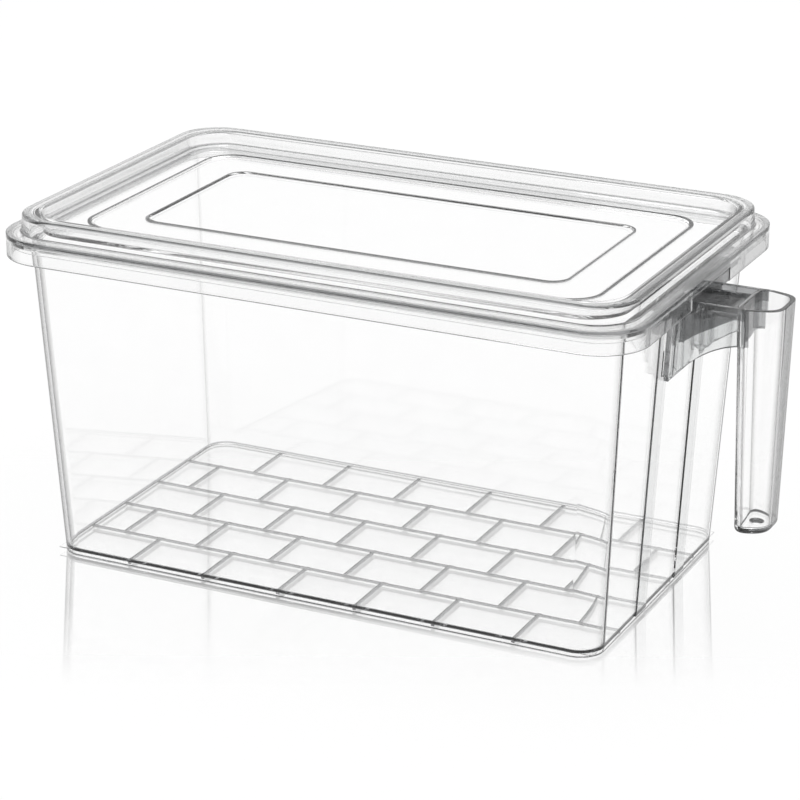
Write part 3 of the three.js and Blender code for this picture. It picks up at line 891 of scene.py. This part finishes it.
def makeHandle():
    # The grip, the plate, two cross walls, two webs and the deck joined, then the hollow and the drain cut.
    s = handleSet
    handle = makeGrip()
    plateTop = rimUnderside - s["plateGap"]
    levels = (rimUnderside - s["plateHeight"], plateTop - s["plateShadeHeight"], plateTop)
    out = (s["plateOffset"], s["plateOffset"] + s["plateThickness"])
    # The plate carries painted shade: faint on its lower part, grey on its upper part.
    plate = leaningBar(
        "plate", out, (-s["plateHalf"], s["plateHalf"]), levels,
        s["edge"] / 2, [paleShadeTone, shadeTone], (shadeTone, shadeTone), shadeTone,
    )
    combine(handle, plate, "UNION")
    for half, low, high in (
        (s["closureHalf"], lidLow.z + s["closureInset"], lidLow.z + lidSet["notchHeight"] - s["closureGap"]),
        (s["armHalf"], gripTop - s["deckDrop"] - s["wall"] / 2, gripTop + s["wall"] / 2),
    ):
        combine(handle, closure(half, low, high), "UNION")
    for side in (-1, 1):
        combine(handle, web(side), "UNION")
    combine(handle, deck(), "UNION")
    combine(handle, hollow(), "DIFFERENCE")
    combine(handle, drainHole(), "DIFFERENCE")
    finishPiece(handle, "handle", "handle_body", handleMaterials)


makeHandle()

# White studio: floor and world read white to the camera and through the plastic
studioSet = {
    "floorSize": 12.0,
    "floorColour": "#f4f4f4",
    "shadowShare": 0.1,
    "floorDrop": 0.05 * mm,
    "mirrorShare": 0.6,
    "mirrorDirection": (-0.433, 0.901, 0.0),  # the camera's heading
    "mirrorFade": (60 * mm, 140 * mm),  # distances before and behind the middle, along it
    "mirrorRoughness": 0.04,
    "worldStrength": 1.0,
    "lampPower": 9.0,
    "lampSize": 1.2,
    "lampHeight": 1.8,
}


def seenDirectly(tree):
    # 1 for rays from the camera, from a reflection or through the plastic, and 0 for the light on the floor.
    path = addNode(tree, "ShaderNodeLightPath")
    first = addNode(tree, "ShaderNodeMath", {"operation": "MAXIMUM"})
    tree.links.new(path.outputs["Is Camera Ray"], first.inputs[0])
    tree.links.new(path.outputs["Is Glossy Ray"], first.inputs[1])
    second = addNode(tree, "ShaderNodeMath", {"operation": "MAXIMUM"})
    tree.links.new(first.outputs[0], second.inputs[0])
    tree.links.new(path.outputs["Is Transmission Ray"], second.inputs[1])
    return second.outputs[0]


def mirrorShare(tree):
    # The sheet is polished under the box and turns matt before and behind it: the share falls with the
    # distance along the direction, from full to nothing over the fade.
    s = studioSet
    place = addNode(tree, "ShaderNodeTexCoord").outputs["Object"]
    along = addNode(tree, "ShaderNodeVectorMath", {"operation": "DOT_PRODUCT"})
    tree.links.new(place, along.inputs[0])
    along.inputs[1].default_value = s["mirrorDirection"]
    distance = addNode(tree, "ShaderNodeMath", {"operation": "ABSOLUTE"})
    tree.links.new(along.outputs["Value"], distance.inputs[0])
    fade = addNode(
        tree, "ShaderNodeMapRange",
        {
            "From Min": s["mirrorFade"][0],
            "From Max": s["mirrorFade"][1],
            "To Min": s["mirrorShare"],
            "To Max": 0.0,
        },
        {"Value": distance.outputs[0]},
    )
    return fade.outputs["Result"]


def makeStudio():
    # A sheet to stand on, a white world and one lamp, which gives the soft shadow on the sheet.
    s = studioSet
    material = bpy.data.materials.new("whiteAcrylicSheet")
    material.use_nodes = True
    tree = material.node_tree
    tree.nodes.clear()
    glow = addNode(tree, "ShaderNodeEmission", {"Color": linear("#ffffff"), "Strength": 1.0})
    matt = addNode(tree, "ShaderNodeBsdfDiffuse", {"Color": linear(s["floorColour"])})
    mirror = addNode(
        tree, "ShaderNodeBsdfGlossy",
        {"Color": linear("#ffffff"), "Roughness": s["mirrorRoughness"]},
    )
    lit = addNode(tree, "ShaderNodeMixShader", {"Fac": s["shadowShare"]})
    tree.links.new(glow.outputs[0], lit.inputs[1])
    tree.links.new(matt.outputs[0], lit.inputs[2])
    polished = addNode(tree, "ShaderNodeMixShader", {}, {"Fac": mirrorShare(tree)})
    tree.links.new(lit.outputs[0], polished.inputs[1])
    tree.links.new(mirror.outputs[0], polished.inputs[2])
    choice = addNode(tree, "ShaderNodeMixShader", {}, {"Fac": seenDirectly(tree)})
    tree.links.new(matt.outputs[0], choice.inputs[1])
    tree.links.new(polished.outputs[0], choice.inputs[2])
    addNode(tree, "ShaderNodeOutputMaterial", {}, {"Surface": choice.outputs[0]})
    half = s["floorSize"] / 2
    mesh = bpy.data.meshes.new("floor")
    corners = [(-half, -half, 0), (half, -half, 0), (half, half, 0), (-half, half, 0)]
    mesh.from_pydata(corners, [], [(0, 1, 2, 3)])
    mesh.materials.append(material)
    floor = bpy.data.objects.new("floor", mesh)
    floor.location.z = -s["floorDrop"]
    bpy.context.scene.collection.objects.link(floor)
    world = bpy.data.worlds.new("whiteStudio")
    world.use_nodes = True
    bpy.context.scene.world = world
    background = world.node_tree.nodes["Background"]
    background.inputs["Color"].default_value = linear("#ffffff")
    background.inputs["Strength"].default_value = s["worldStrength"]
    lamp = bpy.data.lights.new("softbox", "AREA")
    lamp.size = s["lampSize"]
    lamp.energy = s["lampPower"]
    softbox = bpy.data.objects.new("softbox", lamp)
    softbox.location = (0, 0, s["lampHeight"])
    bpy.context.scene.collection.objects.link(softbox)


makeStudio()
scene = bpy.context.scene
scene.view_settings.view_transform = "Standard"
scene.cycles.max_bounces = 40  # a line of sight crosses many clear walls
scene.cycles.transmission_bounces = 40
scene.cycles.glossy_bounces = 12
print("studio set")
